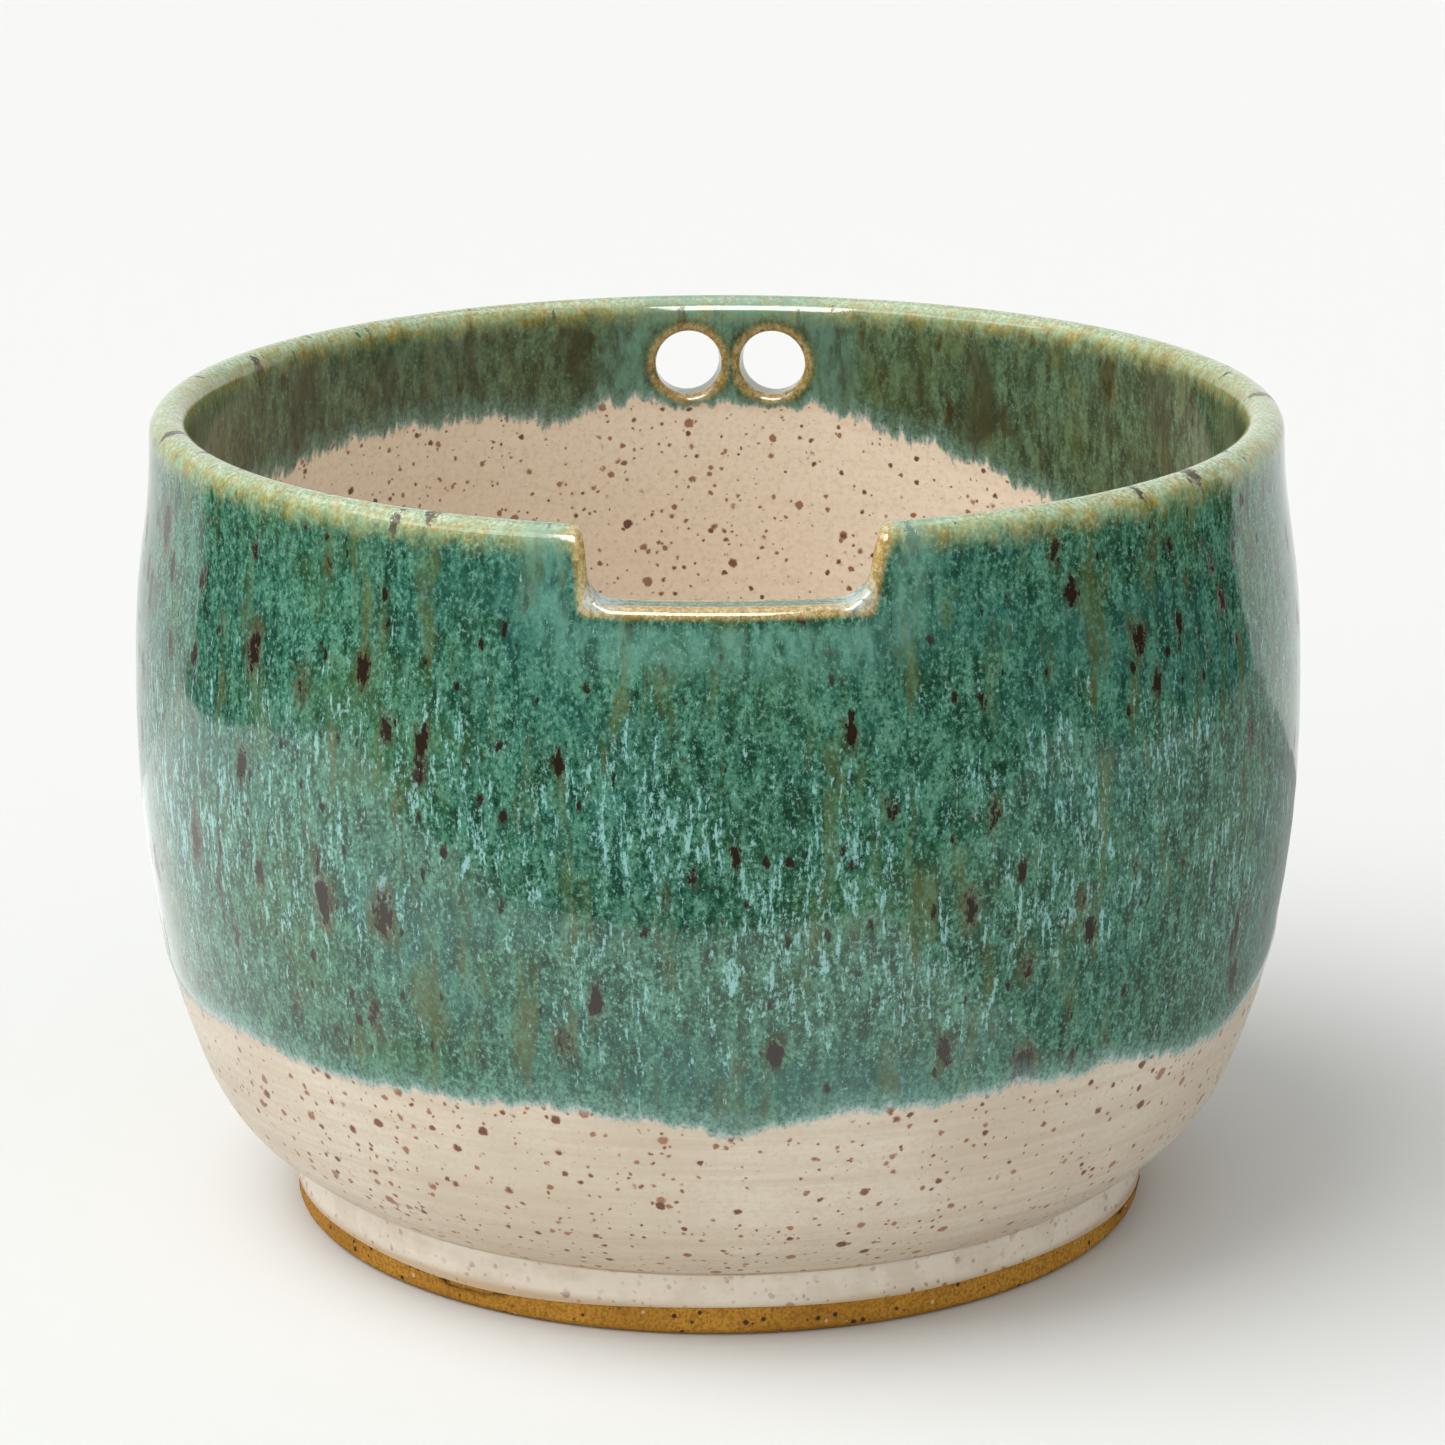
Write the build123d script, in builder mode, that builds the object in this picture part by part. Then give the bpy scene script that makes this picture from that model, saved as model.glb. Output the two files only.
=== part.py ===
"""Yarn bowl: one wheel-thrown stoneware bowl and the three coats of glaze fired onto it.

Frame: origin at the centre of the foot's resting face, +Z up, the needle notch towards -Y
and the two needle holes towards +Y. All lengths in millimetres.
"""

import os
from math import cos, radians, sin

from build123d import *

os.makedirs("parts", exist_ok=True)

# --- driving dimensions -------------------------------------------------------------------
# glaze thicknesses
cream_t = 0.3                   # cream base coat, inside and outside
green_t = 0.4                   # green dip coat over the cream
coats_t = cream_t + green_t

# overall, measured over the fired glaze
height = 106.0                  # resting face to the top of the lip
belly_r = 75.5                  # widest radius
belly_z = 66.0
lip_r = 70.05                   # radius of the crest of the lip
lip_half = 2.55                 # half the thickness of the lip, which is also its rounding

# turned foot ring
foot_r = 56.2                   # outside radius of the bare clay
foot_wall_top = 7.6             # where the foot wall meets the small undercut
foot_bevel = 0.8                # chamfer on both edges of the resting face
foot_ring_w = 6.8               # width of the ring at the resting face
recess_h = 3.5                  # shallow recess turned out under the floor
recess_corner = 2.0             # rounding where the recess meets the ring

# outside of the wall: radius, height and the way the surface faces, in degrees above level
heel_r, heel_z, heel_face = 57.4, 9.0, -49.0          # crisp edge over the foot
turn_r, turn_z, turn_face = 65.2, 16.0, -38.0         # tight turn from floor to wall
rise_r, rise_z, rise_face = 71.3, 30.5, -17.0         # start of the upright wall
neck_r, neck_z, neck_face = 73.1, 91.3, 8.0           # the wall draws in to the lip
undercut_share = 0.37           # how far a coat drops where it fills the crease on the foot

# inside of the wall, measured the same way
floor_z = 10.0                  # clay surface of the floor
floor_flat_r = 36.0             # level part of the floor
inner_turn_r, inner_turn_z, inner_turn_face = 57.8, 18.5, 131.0
inner_low_r, inner_low_z, inner_low_face = 67.2, 36.0, 165.0
inner_belly_r, inner_belly_z, inner_belly_face = 69.9, 66.0, 180.0

# needle notch cut down from the lip
notch_x = 1.4                   # its centre, cut slightly off the middle
notch_floor_z = 97.0
notch_bottom_w = 31.0
notch_top_w = 34.6
notch_corner = 2.6              # rounding of its two inner corners

# pair of needle holes in the opposite wall
hole_d = 9.2                    # clear bore over the glaze
hole_z = 96.6
hole_gap_deg = 10.0             # angle between the two hole axes
holes_off_deg = -1.65           # the pair sits slightly to the right of the middle

# edges of the coats
bare_z = 3.5                    # top of the bare clay band on the foot
outer_line_z = 34.5             # lower edge of the green outside
inner_line_z = 88.0             # lower edge of the green inside

# --- derived ------------------------------------------------------------------------------
clay_top = height - coats_t
clay_lip_half = lip_half - coats_t
lip_z = clay_top - clay_lip_half
far = 100.0                     # beyond the bowl on every side


def out(r, z, face, t):
    """A point of the clay surface moved outwards by a coat of thickness t."""
    return (r + t * cos(radians(face)), z + t * sin(radians(face)))


def inner_points(t):
    """The inside of the wall from the lip down to the edge of the level floor."""
    return (
        (lip_r - clay_lip_half - t, lip_z),
        out(inner_belly_r, inner_belly_z, inner_belly_face, t),
        out(inner_low_r, inner_low_z, inner_low_face, t),
        out(inner_turn_r, inner_turn_z, inner_turn_face, t),
        (floor_flat_r, floor_z + t),
    )


def section(t):
    """Half section of the bowl under a coat of thickness t; the underside stays bare."""
    ring_in = foot_r - foot_ring_w
    heel = out(heel_r, heel_z, heel_face, t)
    lip_out = (lip_r + clay_lip_half + t, lip_z)
    with BuildSketch(Plane.XZ) as half:
        with BuildLine():
            Polyline((0, floor_z + t), (0, recess_h), (ring_in - recess_corner, recess_h))
            RadiusArc(
                (ring_in - recess_corner, recess_h), (ring_in, recess_h - recess_corner),
                recess_corner,
            )
            Polyline(
                (ring_in, recess_h - recess_corner), (ring_in, foot_bevel),
                (ring_in + foot_bevel, 0), (foot_r - foot_bevel, 0), (foot_r + t, foot_bevel),
                (foot_r + t, foot_wall_top - undercut_share * t), heel,
            )
            Spline(
                heel,
                out(turn_r, turn_z, turn_face, t),
                out(rise_r, rise_z, rise_face, t),
                (belly_r - coats_t + t, belly_z),
                out(neck_r, neck_z, neck_face, t),
                lip_out,
            )
            ThreePointArc(
                lip_out, (lip_r, clay_top + t), (lip_r - clay_lip_half - t, lip_z)
            )
            Spline(*inner_points(t), tangents=[(0, -1), (-1, 0)])
            Line((floor_flat_r, floor_z + t), (0, floor_z + t))
        make_face()
    return half.sketch_local


def inside_zone(top):
    """Everything nearer the axis than the middle of the wall, up to a given height."""
    with BuildSketch(Plane.XZ) as zone:
        with BuildLine():
            middle = inner_points(-clay_lip_half)
            Spline(*middle, tangents=[(0, -1), (-1, 0)])
            Polyline(middle[-1], (0, middle[-1][1]), (0, 2 * far), (lip_r, 2 * far), middle[0])
        make_face()
        with Locations((0, top + 2 * far)):
            Rectangle(4 * far, 4 * far, mode=Mode.SUBTRACT)
    return zone.sketch_local


def notch_cut(thickness):
    """The notch as cut where the surface still needs this much coating to be finished."""
    bottom = notch_floor_z - thickness
    reach = height + 10.0
    slope = (notch_top_w - notch_bottom_w) / 2 / (height - notch_floor_z)
    half_bottom = notch_bottom_w / 2 + thickness
    half_top = half_bottom + slope * (reach - bottom)
    with BuildPart(mode=Mode.PRIVATE) as cut:
        with BuildSketch(Plane.XZ.offset(lip_r - 25.0)) as shape:
            with BuildLine():
                Polyline(
                    (notch_x - half_bottom, bottom), (notch_x + half_bottom, bottom),
                    (notch_x + half_top, reach), (notch_x - half_top, reach), close=True,
                )
            make_face()
            fillet(shape.vertices().sort_by(Axis.Y)[:2], notch_corner)
        extrude(amount=40.0)
    return cut.part


def hole_cuts(thickness):
    """Both needle holes, drilled square to the wall, as wide as they are before this coat."""
    with BuildPart(mode=Mode.PRIVATE) as cut:
        for side in (-1, 1):
            turn = 90 + holes_off_deg + side * hole_gap_deg / 2
            with Locations(Rotation(0, 0, turn) * Pos(lip_r, 0, hole_z) * Rotation(0, 90, 0)):
                Cylinder(hole_d / 2 + thickness, 30.0)
    return cut.part


# --- the pieces ---------------------------------------------------------------------------
# the thrown and turned clay, with the notch and the holes cut before firing
with BuildPart() as stoneware_body:
    with BuildSketch(Plane.XZ):
        add(section(0))
    revolve(axis=Axis.Z)
    add(notch_cut(coats_t), mode=Mode.SUBTRACT)
    add(hole_cuts(coats_t), mode=Mode.SUBTRACT)
stoneware_body.part.label = "stoneware_body"

# the cream coat as a whole, off the resting face, the bare band and the underside
with BuildPart(mode=Mode.PRIVATE) as cream_coat:
    with BuildSketch(Plane.XZ):
        add(section(cream_t))
        with Locations((far / 2, bare_z - far / 2)):
            Rectangle(far, far, mode=Mode.SUBTRACT)
        with Locations(((foot_r - 3) / 2, 0)):
            Rectangle(foot_r - 3, 2 * recess_h + 4, mode=Mode.SUBTRACT)
    revolve(axis=Axis.Z)
    add(notch_cut(green_t), mode=Mode.SUBTRACT)
    add(hole_cuts(green_t), mode=Mode.SUBTRACT)
    add(stoneware_body.part, mode=Mode.SUBTRACT)

with BuildPart(mode=Mode.PRIVATE) as inner_half:
    with BuildSketch(Plane.XZ):
        add(inside_zone(150.0))
    revolve(axis=Axis.Z)

# poured liner: floor, inside wall and the inner half of the lip
with BuildPart() as cream_liner:
    add(cream_coat.part)
    add(inner_half.part, mode=Mode.INTERSECT)
cream_liner.part.label = "cream_liner"

# cream coat outside: from the middle of the lip down onto the foot wall
with BuildPart() as cream_outside:
    add(cream_coat.part)
    add(inner_half.part, mode=Mode.SUBTRACT)
cream_outside.part.label = "cream_outside"

# the bowl as it stands before the green dip, clay and cream together
with BuildPart(mode=Mode.PRIVATE) as under_green:
    with BuildSketch(Plane.XZ):
        add(section(cream_t))
    revolve(axis=Axis.Z)
    add(notch_cut(green_t), mode=Mode.SUBTRACT)
    add(hole_cuts(green_t), mode=Mode.SUBTRACT)

# green coat, dipped upside down over the lip, the notch and both holes
with BuildPart() as green_glaze:
    with BuildSketch(Plane.XZ):
        add(section(coats_t))
        add(inside_zone(inner_line_z), mode=Mode.SUBTRACT)
        with Locations((far / 2, outer_line_z - far / 2)):
            Rectangle(far, far, mode=Mode.SUBTRACT)
    revolve(axis=Axis.Z)
    add(notch_cut(0), mode=Mode.SUBTRACT)
    add(hole_cuts(0), mode=Mode.SUBTRACT)
    add(under_green.part, mode=Mode.SUBTRACT)
green_glaze.part.label = "green_glaze"

export_step(stoneware_body.part, "parts/stoneware_body.step")
export_step(cream_liner.part, "parts/cream_liner.step")
export_step(cream_outside.part, "parts/cream_outside.step")
export_step(green_glaze.part, "parts/green_glaze.step")

# --- facts printed for the builder ----------------------------------------------------------
for node in (stoneware_body, cream_liner, cream_outside, green_glaze):
    box = node.part.bounding_box()
    print(
        node.part.label, "solids", len(node.part.solids()),
        "volume_cm3", round(node.part.volume / 1000, 2),
        "z", round(box.min.Z, 2), round(box.max.Z, 2), "x", round(box.max.X, 2),
    )
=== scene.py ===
"""Yarn bowl: thrown stoneware, a cream glaze inside and out, and a green dip over the lip.

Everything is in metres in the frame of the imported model: origin at the centre of the foot,
+Z up, the needle notch towards -Y and the two needle holes towards +Y.
"""
import math

import bmesh
import bpy
import numpy as np
from mathutils import Euler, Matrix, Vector


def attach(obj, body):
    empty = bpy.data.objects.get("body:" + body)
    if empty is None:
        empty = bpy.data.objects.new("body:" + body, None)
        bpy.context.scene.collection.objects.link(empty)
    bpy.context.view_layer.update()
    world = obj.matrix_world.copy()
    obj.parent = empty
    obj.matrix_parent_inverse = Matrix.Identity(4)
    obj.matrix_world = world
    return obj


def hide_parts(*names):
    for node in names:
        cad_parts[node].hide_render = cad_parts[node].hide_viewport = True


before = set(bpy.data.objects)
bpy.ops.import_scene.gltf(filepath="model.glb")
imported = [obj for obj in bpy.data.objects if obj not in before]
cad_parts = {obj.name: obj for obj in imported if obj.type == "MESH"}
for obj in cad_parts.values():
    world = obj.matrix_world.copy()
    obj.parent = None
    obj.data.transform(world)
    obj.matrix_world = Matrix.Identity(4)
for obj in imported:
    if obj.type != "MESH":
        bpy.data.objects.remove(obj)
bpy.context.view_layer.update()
MM = 0.001

# --- sizes of the bowl, in millimetres ----------------------------------------------------
CREAM = 0.3                 # cream coat
GREEN = 0.4                 # green coat over the cream
LIP_R, LIP_Z = 70.05, 103.45
LIP_M = 2.15                # rounding of the lip under the green coat
FLOOR_Z = 10.3
EDGE = 0.7                  # rounding of cut edges under the green coat
NOTCH_FLOOR = 96.6
NOTCH_TALL = 9.0            # height over which the sides of the notch lean outwards
NOTCH_CORNER = 3.2          # rounding of its two inner corners under the green coat
HOLE_R, HOLE_Z = 5.0, 96.6
HOLE_TURN = (173.35, 183.35)        # turned from -Y towards +X, in degrees
BLOCK_TURN = (168.35, 178.35, 188.35)
BLOCK_LOW, BLOCK_HIGH = 90.4, 102.8
CUTS = 16                   # rows and columns across one hole
THROUGH = 8                 # divisions through the wall in a cut face
BARE_Z = 3.5                # top of the bare clay band on the foot
GREEN_ROW_Z = 31.5          # row that carries the lower edge of the green coat outside
GREEN_IN_ROW_Z = 86.0       # and the one inside
HEM = 2.2                   # how far the coat runs on below its visible line


# --- outline ------------------------------------------------------------------------------
def spline(knots, step=0.25):
    """Natural cubic spline through the knots, sampled densely."""
    p = np.array(knots, float)
    s = np.r_[0, np.cumsum(np.linalg.norm(np.diff(p, axis=0), axis=1))]
    h = np.diff(s)
    n = len(p)
    a = np.zeros((n, n))
    b = np.zeros((n, 2))
    a[0, 0] = a[-1, -1] = 1
    for i in range(1, n - 1):
        a[i, i - 1], a[i, i], a[i, i + 1] = h[i - 1], 2 * (h[i - 1] + h[i]), h[i]
        b[i] = 6 * ((p[i + 1] - p[i]) / h[i] - (p[i] - p[i - 1]) / h[i - 1])
    m = np.linalg.solve(a, b)
    out = []
    for i in range(n - 1):
        for q in np.linspace(0, h[i], max(2, int(h[i] / step)), endpoint=False):
            x, y = h[i] - q, q
            out.append((m[i] * x ** 3 + m[i + 1] * y ** 3) / (6 * h[i])
                       + (p[i] / h[i] - m[i] * h[i] / 6) * x
                       + (p[i + 1] / h[i] - m[i + 1] * h[i] / 6) * y)
    out.append(p[-1])
    return np.array(out)


def filleted(points, radii, step=0.12):
    """Straight runs with rounded corners."""
    p = [np.array(q, float) for q in points]
    out = [p[0]]
    for i in range(1, len(p) - 1):
        a = p[i - 1] - p[i]
        b = p[i + 1] - p[i]
        a, b = a / np.linalg.norm(a), b / np.linalg.norm(b)
        half = math.acos(max(-1, min(1, float(a @ b)))) / 2
        back = radii[i] / math.tan(half)
        centre = p[i] + (a + b) / np.linalg.norm(a + b) * radii[i] / math.sin(half)
        first, last = p[i] + a * back - centre, p[i] + b * back - centre
        turn = math.pi - 2 * half
        count = max(3, int(radii[i] * turn / step))
        for k in range(count + 1):
            w = k / count
            d = (first * math.sin((1 - w) * turn) + last * math.sin(w * turn)) / math.sin(turn)
            out.append(centre + d)
    out.append(p[-1])
    return np.array(out)


def resampled(path, step=0.1):
    s = np.r_[0, np.cumsum(np.linalg.norm(np.diff(path, axis=0), axis=1))]
    q = np.linspace(0, s[-1], int(s[-1] / step) + 1)
    return np.c_[np.interp(q, s, path[:, 0]), np.interp(q, s, path[:, 1])]


OUTER = [(61.77, 12), (65.45, 16), (67.72, 20), (70.0, 26), (71.68, 31.5), (73.2, 40),
         (74.62, 52), (75.16, 64), (74.95, 76), (74.4, 84), (73.4, 91), (72.58, 97),
         (LIP_R + LIP_M, LIP_Z)]
INNER = [(LIP_R - LIP_M, LIP_Z), (67.97, 98), (68.27, 90), (69.14, 75), (69.62, 66),
         (69.65, 56), (68.85, 45), (66.9, 36), (62.35, 25), (55.2, 16.3), (47.0, 12.2),
         (36, 10.7), (22, FLOOR_Z), (0, FLOOR_Z)]
under = filleted(
    [(0, 3.15), (49.1, 3.3), (49.1, 0.5), (50.0, -0.3), (55.5, -0.3), (56.5, 0.6), (56.38, 4.0),
     (56.35, 8.15), (57.45, 8.75), (61.77, 12.0)],
    [0, 2.0, 0.5, 0.6, 0.6, 0.9, 30.0, 0.75, 0.55, 0])
outer = spline([(57.85, 9.0), (59.2, 10.05)] + OUTER)
outer = outer[outer[:, 1] > 9.6]
under = under[(under[:, 1] < 9.35) | (under[:, 0] < 50)]
lip = [(LIP_R + LIP_M * math.cos(a), LIP_Z + LIP_M * math.sin(a))
       for a in np.linspace(0, math.pi, 60)[1:-1]]
inner = spline(INNER)
path = resampled(np.vstack([under, outer, lip, inner]), 0.1)
for _ in range(6):                                   # soften the joins of the runs
    path[1:-1] = path[1:-1] * 0.5 + (path[:-2] + path[2:]) * 0.25
U = np.r_[0, np.cumsum(np.linalg.norm(np.diff(path, axis=0), axis=1))]
tangent = np.gradient(path, U, axis=0)
tangent /= np.linalg.norm(tangent, axis=1)[:, None]
PR, PZ = path[:, 0], path[:, 1]
NR, NZ = tangent[:, 1], -tangent[:, 0]               # outward while the path runs up the outside
crest = int(np.argmax(PZ))
U_CREST = U[crest]
heel = int(np.argmax((PR > 57.0) & (PZ > 8.5)))


def u_out(z):
    """Place along the outline of a height on the outside, above the heel."""
    return np.interp(z, PZ[heel:crest], U[heel:crest])


def u_in(z):
    """Place along the outline of a height on the inside wall."""
    last = crest + int(np.argmax(PZ[crest:] < 14.0))
    return np.interp(z, PZ[crest:last][::-1], U[crest:last][::-1])


def at(u):
    return np.interp(u, U, PR), np.interp(u, U, PZ), np.interp(u, U, NR), np.interp(u, U, NZ)


# --- wavy edges of the coats, as fired --------------------------------------------------------
def ring_curve(samples):
    """Height as a smooth function of the turn from -Y towards +X, in degrees."""
    turns = np.array([math.degrees(math.atan2(x, -y)) % 360 for x, y, z in samples])
    order = np.argsort(turns)
    t, z = turns[order], np.array([samples[i][2] for i in order])
    t = np.r_[t[-2:] - 360, t, t[:2] + 360]
    z = np.r_[z[-2:], z, z[:2]]
    return lambda turn: np.interp(np.mod(turn, 360), t, z)


green_low = ring_curve([
    (-69, -23, 33.8), (-59, -42, 35.0), (-51, -52, 34.4), (-45, -56, 33.9), (-38, -62, 35.0),
    (-29, -66, 34.7), (-21, -70, 35.3), (-14, -71, 34.7), (-7, -72, 34.2), (-2, -72, 32.9),
    (3, -72, 32.5), (10, -72, 34.1), (16, -71, 35.0), (23, -69, 34.5), (29, -67, 35.2),
    (36, -63, 35.6), (43, -59, 34.9), (48, -55, 35.6), (57, -44, 32.5), (63, -35, 32.5),
    (69, -24, 34.7), (72, 0, 35.4), (66, 28, 34.0), (51, 51, 35.2), (28, 66, 34.2),
    (10, 71, 35.0), (-9, 71, 33.6), (-27, 67, 34.8), (-48, 53, 35.6), (-64, 33, 34.1),
    (-72, 4, 35.0)])
green_in = ring_curve([
    (-53, 43, 89.8), (-44, 52, 90.9), (-34, 60, 90.3), (-27, 63, 90.0), (-22.5, 65, 88.1),
    (-17, 67, 90.8), (-11, 68, 91.6), (-3, 69, 91.5), (7, 68, 91.2), (16, 67, 91.2),
    (19, 66.5, 88.7), (26, 64, 87.0), (34, 61, 85.0), (42, 55, 82.5), (48, 51, 80.7),
    (58, 38, 78.0), (66, 18, 77.5), (68, -8, 80.0), (60, -33, 83.5), (42, -55, 86.5),
    (20, -66, 88.0), (0, -69, 87.5), (-24, -65, 89.0), (-46, -51, 88.0), (-62, -30, 89.5),
    (-69, -4, 88.0), (-64, 24, 88.5)])


# --- rows and columns -------------------------------------------------------------------------
def smooth(x, a, b):
    w = np.clip((x - a) / (b - a), 0, 1)
    return w * w * (3 - 2 * w)


rounding = [EDGE * (1 - math.sin(math.radians(a))) for a in (0, 18, 36, 54, 72, 90)]
even_z = np.linspace(BLOCK_LOW, BLOCK_HIGH, CUTS + 1)
notch_z = np.array([BLOCK_LOW, 92.3, 94.0, 95.2] + [NOTCH_FLOOR - d for d in rounding]
                   + [97.1, 97.65, 98.4, 99.4, 100.5, 101.6, BLOCK_HIGH])
N_ROW = 9                                            # row of the notch floor within the block

foot = np.where((PR[:heel] > 55.8) & (PZ[:heel] > 1.2))[0]
U_BARE = float(np.interp(BARE_Z, PZ[foot], U[foot]))
rows = list(np.linspace(0, 44.0, 20)) + list(np.linspace(45.5, 51.5, 13)[:-1])
u_ring_end = float(U[foot[0]])
rows += list(np.linspace(rows[-1] + 0.6, u_ring_end, 22)) + [u_ring_end + 0.8]
rows += list(np.linspace(u_ring_end + 1.4, U_BARE, 3))
I_BARE = len(rows) - 1
u_crease = float(U[heel])
rows += list(np.linspace(U_BARE, u_crease - 1.6, 6)[1:])
rows += list(np.linspace(u_crease - 1.3, u_crease + 1.2, 11))
u_line = float(u_out(GREEN_ROW_Z))
rows += list(np.linspace(rows[-1], u_line, 21)[1:])
I_GREEN = len(rows) - 1
rows += list(np.linspace(u_line, float(u_out(BLOCK_LOW)), 42)[1:-1])
I_BLOCK = len(rows)
rows += list(u_out(even_z))
rows.append(float(u_out(LIP_Z - 0.1)))
lip_u = np.linspace(U_CREST - LIP_M * math.pi / 2 + 0.25, U_CREST, 9)
rows += list(lip_u)
I_CREST = len(rows) - 1
mirror = [2 * U_CREST - q for q in lip_u[:-1][::-1]]
rows += mirror + [float(u_in(LIP_Z - 0.1))]
rows += list(u_in(even_z[::-1]))
I_BLOCK_IN = len(rows) - 1                           # lowest row of the block on the inside
rows += list(u_in(np.linspace(BLOCK_LOW, GREEN_IN_ROW_Z, 5)[1:]))
I_GREEN_IN = len(rows) - 1
rows += list(u_in(np.linspace(GREEN_IN_ROW_Z, 20.0, 42)[1:]))
u_end = float(U[-1])
rest = u_end - rows[-1]
w = np.linspace(0, 1, 31)[1:]
rows += list(rows[-1] + rest * (0.62 * w + 0.38 * w ** 2))
rows = np.array(rows)
rows[-1] = u_end
assert np.all(np.diff(rows) > 0), np.where(np.diff(rows) <= 0)
I = len(rows)
I_FLOOR = I_BLOCK + N_ROW
I_FLOOR_IN = 2 * I_CREST - I_FLOOR

# columns: x across the notch, and turn elsewhere
side_steps = [EDGE] + list(np.cumsum([0.45, 0.6, 0.8, 1.0, 1.2, 1.4]) + EDGE)
d_side = rounding[::-1] + side_steps[1:]             # distance out from the edge of the notch
across = 38
L_BOT, L_TOP, R_BOT, R_TOP = -15.1, -16.0, 17.4, 19.2
cols = []                                            # (kind, value)
for d in reversed(d_side):
    cols.append(("L", d))
C_L = len(cols) - 1
for k in range(1, across):
    w = k / across
    w = w - 0.35 * math.sin(2 * math.pi * w) / (2 * math.pi)
    cols.append(("N", w))
C_R = len(cols)
for d in d_side:
    cols.append(("R", d))
R_REF = 72.4
start = math.degrees(math.asin((R_BOT + d_side[-1]) / R_REF))
end = 360 + math.degrees(math.asin((L_BOT - d_side[-1]) / R_REF))
count = int((BLOCK_TURN[0] - start) / 1.15)
cols += [("T", q) for q in np.linspace(start, BLOCK_TURN[0], count)[1:-1]]
C_B0 = len(cols)
cols += [("T", q) for q in np.linspace(BLOCK_TURN[0], BLOCK_TURN[1], CUTS + 1)[:-1]]
C_B1 = len(cols)
cols += [("T", q) for q in np.linspace(BLOCK_TURN[1], BLOCK_TURN[2], CUTS + 1)]
C_B2 = len(cols) - 1
count = int((end - BLOCK_TURN[2]) / 1.15)
cols += [("T", q) for q in np.linspace(BLOCK_TURN[2], end, count)[1:-1]]
J = len(cols)

kind = np.array([c[0] for c in cols])
value = np.array([c[1] for c in cols])
near = np.where(kind == "N", 1.0,
                np.where(kind == "T", 0.0, 1 - smooth(value, 2.5, 6.0)))
flat_value = np.where(kind == "T", 0, value)
flat_x = np.where(kind == "L", L_BOT - flat_value,
                  np.where(kind == "R", R_BOT + flat_value,
                           L_BOT + (R_BOT - L_BOT) * flat_value))
turn_flat = np.where(kind == "T", value, np.degrees(np.arcsin(flat_x / R_REF)))

u = np.repeat(rows[:, None], J, axis=1)
turn = np.repeat(turn_flat[None, :], I, axis=0).astype(float)

# rows gather at the notch floor, on both faces of the wall, and spread out away from it
front = 1 - smooth(np.abs((turn_flat + 180) % 360 - 180 - 1.2), 20.0, 40.0)
z_up = even_z[:, None] * (1 - front) + notch_z[:, None] * front
u[I_BLOCK:I_BLOCK + CUTS + 1] = u_out(z_up)
u[I_BLOCK_IN - CUTS:I_BLOCK_IN + 1] = u_in(z_up[::-1])


# rows follow the edges of the green coat, which ends just below its visible line
def pull(z, low, line, high):
    """Share of a shift: 1 at the line, falling to 0 at the heights below and above it."""
    return np.clip((z - low) / (line - low) if z < line else (high - z) / (high - line), 0, 1)


shift = green_low(turn_flat) - HEM - GREEN_ROW_Z
for i in range(I_BARE + 1, I_BLOCK):
    z = at(rows[i])[1]
    if z > 20:
        u[i] = u_out(z + pull(z, 22, GREEN_ROW_Z, 60) * shift)
shift_in = np.minimum(green_in(turn_flat) - HEM, BLOCK_LOW - 1.0) - GREEN_IN_ROW_Z
for i in range(I_BLOCK_IN + 1, I):
    z = at(rows[i])[1]
    if z > 45:
        u[i] = u_in(z + pull(z, 45, GREEN_IN_ROW_Z, BLOCK_LOW) * shift_in)
# the top of the bare band wanders a little round the foot
u[I_BARE - 1:I_BARE + 2] += 0.35 * np.sin(np.radians(turn_flat) * 3 + 0.7) \
    + 0.2 * np.sin(np.radians(turn_flat) * 7 + 2.0)

# columns keep to the flat cut faces of the notch near it
r_here, z_here, _, _ = at(u)
level = np.clip(z_here, NOTCH_FLOOR, None)
left = L_BOT + (L_TOP - L_BOT) * (level - NOTCH_FLOOR) / NOTCH_TALL
right = R_BOT + (R_TOP - R_BOT) * (level - NOTCH_FLOOR) / NOTCH_TALL
val = np.where(kind == "T", 0.0, value)[None, :]
x = np.where(kind == "L", left - val,
             np.where(kind == "R", right + val, left + (right - left) * val))
high = smooth(z_here, 80.0, 90.0) * (np.arange(I) > I_GREEN)[:, None]
use = near[None, :] * high * (kind != "T")[None, :]

# round the two inner corners of the notch
dx = np.where(x < (left + right) / 2, x - left, right - x)     # positive inside the notch
dz = z_here - NOTCH_FLOOR
on_side = np.where(dz >= 0, np.clip(dz, 0, NOTCH_CORNER), 0.0)
on_floor = np.where((dz <= 0) & (dx >= 0), np.clip(dx, 0, NOTCH_CORNER), 0.0)
length = np.hypot(on_floor - NOTCH_CORNER, on_side - NOTCH_CORNER)
arc_a = NOTCH_CORNER + NOTCH_CORNER * (on_floor - NOTCH_CORNER) / length - on_floor
arc_b = NOTCH_CORNER + NOTCH_CORNER * (on_side - NOTCH_CORNER) / length - on_side
away = np.hypot(np.clip(-dx, 0, None), np.clip(-dz, 0, None))
away = np.where((dx >= 0) & (dz >= 0), 0, away)
fade = np.where((dx > NOTCH_CORNER) | (dz > NOTCH_CORNER), 0.0,
                np.exp(-(away / NOTCH_CORNER) ** 2))
fade *= use * (np.abs(np.arange(I) - I_CREST) > 9)[:, None]
sign = np.where(x < (left + right) / 2, 1, -1)
apart = np.hypot(np.clip(-dx, 0, None), np.clip(-dz, 0, None))
beside = (dz >= -1e-6)
apart = np.where(beside, np.clip(-dx, 0, None), apart)
apart = np.where((dx >= 0) & ~beside, np.clip(-dz, 0, None), apart)
x = x + sign * arc_a * fade
z_new = z_here + arc_b * fade
outside_rows = (np.arange(I) <= I_CREST)[:, None] & (np.arange(I) > I_GREEN)[:, None]
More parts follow.
